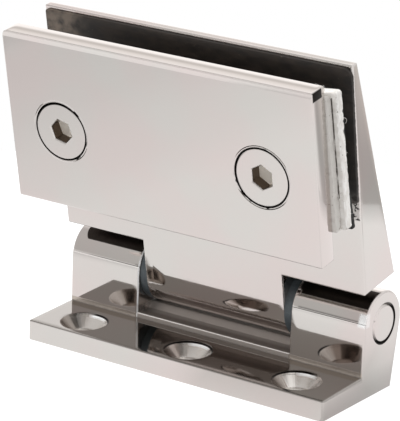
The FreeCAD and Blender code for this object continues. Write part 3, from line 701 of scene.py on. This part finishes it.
def screwZones(values, side):
    ring = {"about": (side * screwSpot.x, 0, screwSpot.z), "axis": "Y"}
    inside = {**ring, "ring": (0, 0.64 * values["socket"])}   # just past the socket's corners
    wall, floor = plateLow.y + 0.3 * mm, plateLow.y + values["socketDepth"] - 0.1 * mm
    rim = values["head"] - values["headRim"]
    return [
        {**ring, "ring": (0, values["head"]), "roughness": 0.10,
         "marks": ((3.0 * mm, 1 * mm, 0.12 * mm), 0.0012 * mm)},
        # socket walls: painted shade inside the recess
        {**inside, "box": ((-beyond, wall, -beyond), (beyond, beyond, beyond)), "color": values["shadedWallColor"],
         "roughness": 0.25, "marks": ((0.3 * mm, 4 * mm, 0.3 * mm), 0.006 * mm)},
        # socket floor: painted light, near white
        {**inside, "box": ((-beyond, floor, -beyond), (beyond, beyond, beyond)),
         "color": values["litFloorColor"], "roughness": 0.5, "metallic": 0.1},
        # dark rim, darker on one side
        {**ring, "ring": (rim - 0.2 * mm, rim + 0.2 * mm), "soft": 0.08 * mm,
         "lean": ((-side * 0.3 - 0.6, 0, 0.6 - side * 0.5), 0.55, 0.85), "color": plate["groove"],
         "roughness": 0.55},
        {**ring, "ring": (rim, 9 * mm), "color": plate["groove"], "roughness": 0.55},
    ]


def circle(middle, radius, y, count, start=0.0):
    turns = [math.radians(start) + 2 * math.pi * k / count for k in range(count)]
    return [Vector((middle.x + radius * math.cos(t), y, middle.z + radius * math.sin(t))) for t in turns]


def linkRings(faces, first, second, count):
    # a band of faces between two rings of points, given by their first numbers
    for i in range(count):
        j = (i + 1) % count
        faces.append((first + i, first + j, second + j, second + i))


def fillFlat(faces, points, rings):
    # a flat face inside the first ring and outside the others; a ring is a range of point numbers
    flat = [[Vector((points[i].x, points[i].z, 0)) for i in ring] for ring in rings]
    index = [i for ring in rings for i in ring]
    faces += [tuple(index[i] for i in triangle) for triangle in tessellate_polygon(flat)]


def leafMesh(name, node, points, faces, sharp, material):
    # a piece that rides on the leaf in place of a CAD node, from points of the upright leaf
    mesh = bpy.data.meshes.new(name)
    mesh.from_pydata([leafPlace @ point for point in points], [], faces)
    shape = bmesh.new()
    shape.from_mesh(mesh)
    bmesh.ops.recalc_face_normals(shape, faces=shape.faces)
    shape.to_mesh(mesh)
    shape.free()
    mesh.shade_smooth()
    mesh.set_sharp_from_angle(angle=math.radians(sharp))
    mesh.materials.append(material)
    made = bpy.data.objects.new(name, mesh)
    bpy.context.scene.collection.objects.link(made)
    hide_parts(node)
    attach(made, "leaf")


def turnedScrew(name, node, values, material):
    low, high = leafBox(node)
    middle = (low + high) / 2
    head, shank, rim, tip = (values[key] for key in ("head", "shank", "headRim", "tip"))
    profile = [(head - rim, low.y), (head, low.y + rim), (shank, low.y + values["coneDepth"]),
               (shank, high.y - tip), (shank - tip, high.y)]
    points, faces = [], []
    for radius, y in profile:
        points += circle(middle, radius, y, roundCount)
    for row in range(len(profile) - 1):
        linkRings(faces, row * roundCount, (row + 1) * roundCount, roundCount)
    base = len(points)
    faces.append(tuple(range(base - roundCount, base)))

    corner, turn = values["socket"] / math.sqrt(3), values["turn"][node]
    socketRim, depth = values["socketRim"], values["socketDepth"]
    for radius, y in ((corner + socketRim, 0.0), (corner, socketRim), (corner, depth)):
        points += circle(middle, radius, low.y + y, 6, turn)
    for row in range(2):
        linkRings(faces, base + 6 * row, base + 6 * (row + 1), 6)
    last = base + 12
    faces += [(last + i, last + (i + 1) % 6, len(points)) for i in range(6)]
    points.append(Vector((middle.x, low.y + depth + values["drillDepth"], middle.z)))
    fillFlat(faces, points, [range(roundCount), range(base, base + 6)])
    leafMesh(name, node, points, faces, values["sharp"], material)


for name, side in (("left_clamp_screw", -1), ("right_clamp_screw", 1)):
    material = polishedSteel(f"turnedSteel{side + 2}", screwZones(screws, side), True, {"rollShare": 0.0})
    turnedScrew(name.replace("clamp", "turned"), name, screws, material)
print("steel finished")


def plainMaterial(name, values, zones=()):
    # a matt or satin material on the leaf: a base colour clouded by a second one, with a fine grain
    material, tree, output = newMaterial(name)
    place = objectPlace(tree, True)
    scaled = addNode(tree, "ShaderNodeVectorMath", {0: place, 1: [1 / step for step in values["grain"]]},
                     operation="MULTIPLY")
    grain = addNode(tree, "ShaderNodeTexNoise", {"Vector": scaled.outputs[0], "Scale": 1.0, "Detail": 4.0})
    share = addNode(tree, "ShaderNodeMapRange", {
        "Value": grain.outputs[0], "From Min": 0.35, "From Max": 0.65})
    color = addNode(tree, "ShaderNodeMix", {
        "Factor": share.outputs["Result"], "A": hexColor(values["color"]), "B": hexColor(values["second"])},
        data_type="RGBA").outputs["Result"]
    roughness = addNode(tree, "ShaderNodeMapRange", {
        "Value": grain.outputs[0], "To Min": values["roughness"] * 0.9, "To Max": values["roughness"] * 1.1})
    height = addNode(tree, "ShaderNodeMath", {0: grain.outputs[0], 1: values["depth"]}, operation="MULTIPLY")
    levels = {"roughness": roughness.outputs["Result"], "metallic": 0.0}
    layZones(tree, output, place, values, color, levels, [height.outputs[0]], zones)
    return material


# Acetal bushes, moulded: dark blue grey with a soft shine.
acetal = {"color": "40474B", "second": "4A5155", "roughness": 0.38, "grain": (0.8 * mm,) * 3,
          "depth": 0.004 * mm}
bushMaterial = plainMaterial("mouldedAcetal", acetal)
for name in ("left_bush", "right_bush"):
    dressNode(name, bushMaterial)

# Nylon sleeves round the clamp screws, extruded: milky and slightly waxy.
nylon = {"color": "E4E1DA", "second": "D8D4CB", "roughness": 0.45, "grain": (2 * mm, 6 * mm, 2 * mm),
         "depth": 0.01 * mm}
sleeveMaterial = plainMaterial("extrudedNylon", nylon)
for name in ("left_screw_sleeve", "right_screw_sleeve"):
    dressNode(name, sleeveMaterial)

# Rubber sheet, calendered: matt black with dust, greyer towards its left end and lower right end.
linerLow, linerHigh = leafBox("jaw_liner")
rubber = {"color": "181411", "second": "28211C", "roughness": 0.62, "grain": (3 * mm, 1 * mm, 1.6 * mm),
          "depth": 0.05 * mm, "facing": (-16.5 * mm, -15.0 * mm)}
rubberZones = [
    {"box": ((linerLow.x - 1 * mm, -beyond, linerLow.z),
             (linerLow.x + 10 * mm, beyond, linerHigh.z + 1 * mm)),
     "soft": 5 * mm, "broken": (2.6 * mm, 0.30, 0.62), "color": "6A5E53"},
    {"box": ((linerHigh.x - 6 * mm, -beyond, linerLow.z - 1 * mm),
             (linerHigh.x + 1 * mm, beyond, linerLow.z + 2.5 * mm)),
     "soft": 2.0 * mm, "broken": (1.5 * mm, 0.35, 0.6), "color": "5F5955"},
    {"broken": (0.45 * mm, 0.70, 0.78), "color": "544A42"},
    # the thin sheet behind the fibre is clean and deep black
    {"box": ((-beyond, rubber["facing"][0], -beyond), (beyond, rubber["facing"][1], beyond)),
     "color": "0B0908"},
]
rubberMaterial = plainMaterial("calenderedRubber", rubber, rubberZones)

# Fibre sheet, rough cut: white and fluffy at its cut edges, in thin layers.
fibre = {"color": "F1EFEC", "second": "D9D4CF", "roughness": 0.95, "grain": (1.4 * mm, 0.5 * mm, 2.2 * mm),
         "depth": 0.25 * mm}
slit = {"x": (47.62 * mm, 47.92 * mm), "z": (43.5 * mm, 69.5 * mm), "slant": 0.0236}
packLow, packHigh = leafBox("packing_back")
fibreZones = [
    # painted shade: the greyer cut end of the front sheet, and a dark line in the slit between the two
    {"box": ((packHigh.x - 6 * mm, packLow.y - 3 * mm, packLow.z),
             (packHigh.x + 1 * mm, packLow.y, packHigh.z)), "color": "CFCBC6", "soft": 0.1 * mm},
    {"shear": slit["slant"], "box": ((slit["x"][0], packLow.y - 0.35 * mm, slit["z"][0]),
                                     (slit["x"][1], packLow.y + 0.3 * mm, slit["z"][1])),
     "color": "4A423C", "soft": 0.07 * mm, "broken": (5.0 * mm, 0.34, 0.46)},
    {"broken": (0.8 * mm, 0.68, 0.76), "color": "8E857D"},
]
fibreMaterial = plainMaterial("roughCutFibre", fibre, fibreZones)
print("plastics, rubber and fibre finished")

# Loose sheets between jaw and plate, and the plate: flat with soft edges, in the places of the solids
# that they replace. Rough cut ones are ragged at their right end. Corners are x and z in the upright
# leaf, counterclockwise from the lower left, and a notch is its height, depth and width.
sleeveLow, sleeveHigh = leafBox("right_screw_sleeve")
sheets = {
    "holes": ((sleeveHigh.x - sleeveLow.x) / 2 + 0.2 * mm,) * 2,
    "rows": (0.0, 0.10, 0.28, 0.50, 0.72, 0.90, 1.0),   # depths through the thickness
    "sharp": 48,
    "step": 0.9 * mm,
    "fineStep": 0.28 * mm,
    "fineWidth": 9 * mm,                 # finer this near the right end
    "ragWidth": (3.5 * mm, 2 * mm),      # ragged this near the right end, and how fast that comes in
    "ragGrains": ((1.3 * mm, 1.0, 0.9), (0.42 * mm, 2.0, 0.6)),   # size, layering and share
    "notchWidth": 4 * mm,
    "notches": (),
}


def cornerPath(values, fineFrom):
    # points round a polygon with rounded corners, close together where x is past fineFrom
    corners, radii = [Vector(corner) for corner in values["corners"]], values["radii"]
    count = len(corners)
    turns = []
    for i, corner in enumerate(corners):
        before = (corners[i - 1] - corner).normalized()
        after = (corners[(i + 1) % count] - corner).normalized()
        reach = radii[i] / math.tan(before.angle(after) / 2)
        turns.append((corner + before * reach, corner, corner + after * reach))
    path = []
    for i, (start, corner, end) in enumerate(turns):
        arcSteps = 7 if radii[i] > 0.3 * mm else 2
        for k in range(arcSteps):
            t = k / arcSteps
            path.append(start * (1 - t) ** 2 + corner * 2 * t * (1 - t) + end * t ** 2)
        following = turns[(i + 1) % count][0]
        step = values["fineStep"] if min(end.x, following.x) > fineFrom else values["step"]
        steps = max(1, round((following - end).length / step))
        path += [end.lerp(following, k / steps) for k in range(steps)]
    return path


def edgePush(spot, y, rightEnd, values):
    # how far the edge stands out at a point: torn by noise and notched near the right end
    width, fade = values["ragWidth"]
    rough = 0.0
    for size, layers, share in values["ragGrains"]:
        rough += noise.noise(Vector((spot.x, y * layers, spot.y)) / size) * share
    push = values["rag"] * min(1.0, max(0.15, (spot.x - (rightEnd - width)) / fade)) * rough
    if spot.x > rightEnd - values["notchWidth"]:
        for height, deep, wide in values["notches"]:
            push -= deep * math.exp(-((spot.y - height) / wide) ** 2)
    return push


def clampedSheet(name, node, changes, material):
    values = {**sheets, **changes}
    low, high = leafBox(node)
    depth, rim, rows = high.y - low.y, values["rim"], values["rows"]
    path = cornerPath(values, high.x - values["fineWidth"])
    count = len(path)
    outward = []
    for i in range(count):
        along = (path[(i + 1) % count] - path[i - 1]).normalized()
        outward.append(Vector((along.y, -along.x)))
    points, faces = [], []
    for share in rows:
        inset = rim * max(0.0, 1 - min(share, 1 - share) * depth / rim) ** 2
        y = low.y + share * depth
        for spot, away in zip(path, outward):
            at = spot + away * (edgePush(spot, y, high.x, values) - inset)
            points.append(Vector((at.x, y, at.y)))
    for row in range(len(rows) - 1):
        linkRings(faces, row * count, (row + 1) * count, count)

    front, back = [range(count)], [range(len(points) - count, len(points))]
    for side in (-1, 1):
        middle = Vector((side * screwSpot.x, 0, screwSpot.z))
        linkRings(faces, len(points), len(points) + roundCount, roundCount)
        for radius, y, rings in zip(values["holes"], (low.y, high.y), (front, back)):
            rings.append(range(len(points), len(points) + roundCount))
            points += circle(middle, radius, y, roundCount)
    fillFlat(faces, points, front)
    fillFlat(faces, points, back)
    leafMesh(name, node, points, faces, values["sharp"], material)


packingLow, packingHigh = leafBox("packing_front")
steelPlate = {
    "corners": [(plateLow.x, plateLow.z), (plateHigh.x, plateLow.z), (plateHigh.x, plateHigh.z),
                (plateLow.x, plateHigh.z)],
    "radii": (0.5 * mm, 0.4 * mm, 0.5 * mm, 1.8 * mm),
    "rag": 0.0,
    "rim": 0.25 * mm,
    "holes": plate["sink"],
    "rows": (0.0, 0.007, 0.016, 0.028, 0.048, 0.952, 0.972, 0.984, 0.993, 1.0),
    "sharp": 27,
}
fibreFront = {
    "right": 46.1 * mm,
    "topRight": packingHigh.z - 0.9 * mm,
    "radii": (0.4 * mm, 0.5 * mm, 1.3 * mm, 9 * mm, 0.8 * mm),
    "rag": 0.10 * mm,
    "rim": 0.22 * mm,
    "notches": ((58 * mm, 0.25 * mm, 1.2 * mm), (44 * mm, 0.3 * mm, 0.9 * mm)),
}
fibreBack = {
    "right": 47.5 * mm,
    "topRight": packingHigh.z,
    "radii": (0.4 * mm, 0.8 * mm, 0.9 * mm, 9 * mm, 0.8 * mm),
    "rag": 0.14 * mm,
    "rim": 0.22 * mm,
    "notches": ((65.4 * mm, 0.35 * mm, 0.45 * mm), (62.8 * mm, 0.28 * mm, 0.35 * mm),
                (60.2 * mm, 0.3 * mm, 0.9 * mm)),
}
packing = {"crown": 1.2 * mm, "footOut": 0.8 * mm, "riseFrom": plateHigh.x - 2.6 * mm}
rubberFacing = {
    # a small foot hangs out below the fibre at the right
    "corners": [(-43.2 * mm, packingLow.z), (45.4 * mm, packingLow.z), (45.7 * mm, packingLow.z - 1.0 * mm),
                (48.6 * mm, packingLow.z - 0.8 * mm), (47.5 * mm, 46 * mm),
                (46.9 * mm, packingHigh.z - 0.8 * mm), (-43.2 * mm, packingHigh.z - 1.2 * mm)],
    "radii": (0.3 * mm, 0.3 * mm, 0.4 * mm, 0.9 * mm, 6 * mm, 1.0 * mm, 0.8 * mm),
    "rag": 0.08 * mm,
    "rim": 0.12 * mm,
}
rubberLiner = {
    "corners": [(linerLow.x, linerLow.z), (linerHigh.x + 0.7 * mm, linerLow.z),
                (linerHigh.x + 1.0 * mm, linerHigh.z), (linerLow.x, linerHigh.z)],
    "radii": (0.6 * mm, 1.0 * mm, 2.6 * mm, 0.8 * mm),
    "rag": 0.10 * mm,
    "rim": 0.15 * mm,
}


def packingCorners(node, values, shape):
    # outline of a fibre sheet: its right end slants, and its top edge rises towards that end
    low, high = leafBox(node)
    foot, right, top = packingLow.z, values["right"], values["topRight"]
    return [(low.x, foot), (right + shape["footOut"], foot), (right, top),
            (shape["riseFrom"], top - shape["crown"] / 2), (low.x, high.z - shape["crown"])]


fibreFront["corners"] = packingCorners("packing_front", fibreFront, packing)
fibreBack["corners"] = packingCorners("packing_back", fibreBack, packing)
clampedSheet("steel_plate", "front_plate", steelPlate, plateMaterial)
clampedSheet("fibre_sheet_front", "packing_front", fibreFront, fibreMaterial)
clampedSheet("fibre_sheet_back", "packing_back", fibreBack, fibreMaterial)
clampedSheet("rubber_facing", "packing_facing", rubberFacing, rubberMaterial)
clampedSheet("rubber_liner", "jaw_liner", rubberLiner, rubberMaterial)

# Loose fibres that stand out of the cut edges: thin tapering curls. Lengths are millimetres in the
# upright leaf.
wisps = {
    "thickness": 0.06 * mm,
    "taper": 0.75,
    "seed": 7,
    "heights": (37, 70),
    "depths": (-20.6, -16.4),
    "ends": (46.1, 47.5),      # of the front and the back sheet at the top
    "meet": -18.9,             # depth where the two sheets meet
    "slant": (0.8, 35),        # their ends lean out by this over this height
    "curls": [
        [(47.3, -16.6, 63.7), (47.9, -16.4, 63.9), (48.4, -16.3, 63.3), (48.1, -16.2, 62.5),
         (47.7, -16.2, 62.2)],
        [(45.4, -21.2, 72.2), (45.0, -21.4, 73.2), (44.6, -21.8, 73.9), (44.0, -22.1, 74.2)],
        [(45.5, -20.6, 72.0), (45.6, -20.6, 72.9), (45.3, -20.8, 73.5)],
    ],
    "short": 26,
}


def makeWisps(values):
    random.seed(values["seed"])
    curls = list(values["curls"])
    frontEnd, backEnd = values["ends"]
    out, over = values["slant"]
    for _ in range(values["short"]):
        z = random.uniform(*values["heights"])
        y = random.uniform(*values["depths"])
        x = (frontEnd if y < values["meet"] else backEnd) + out * (values["heights"][1] - z) / over
        tip = (random.uniform(0.25, 0.6), random.uniform(-0.2, 0.3), random.uniform(-0.5, 0.4))
        curls.append([(x - 0.3, y, z), (x + tip[0] * 0.6, y + tip[1] * 0.3, z + tip[2] * 0.2),
                      (x + tip[0], y + tip[1], z + tip[2])])
    data = bpy.data.curves.new("fibre_wisps", "CURVE")
    data.dimensions = "3D"
    data.bevel_depth = values["thickness"]
    data.bevel_resolution = 1
    data.resolution_u = 4
    data.use_fill_caps = True
    for curl in curls:
        spline = data.splines.new("NURBS")
        spline.points.add(len(curl) - 1)
        for k, (point, spot) in enumerate(zip(spline.points, curl)):
            point.co = (*(leafPlace @ (Vector(spot) * mm)), 1.0)
            point.radius = 1.0 - values["taper"] * k / (len(curl) - 1)
        spline.order_u = 3
        spline.use_endpoint_u = True
    data.materials.append(fibreMaterial)
    made = bpy.data.objects.new("fibre_wisps", data)
    bpy.context.scene.collection.objects.link(made)
    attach(made, "leaf")


makeWisps(wisps)
print("sheets and loose fibres made")
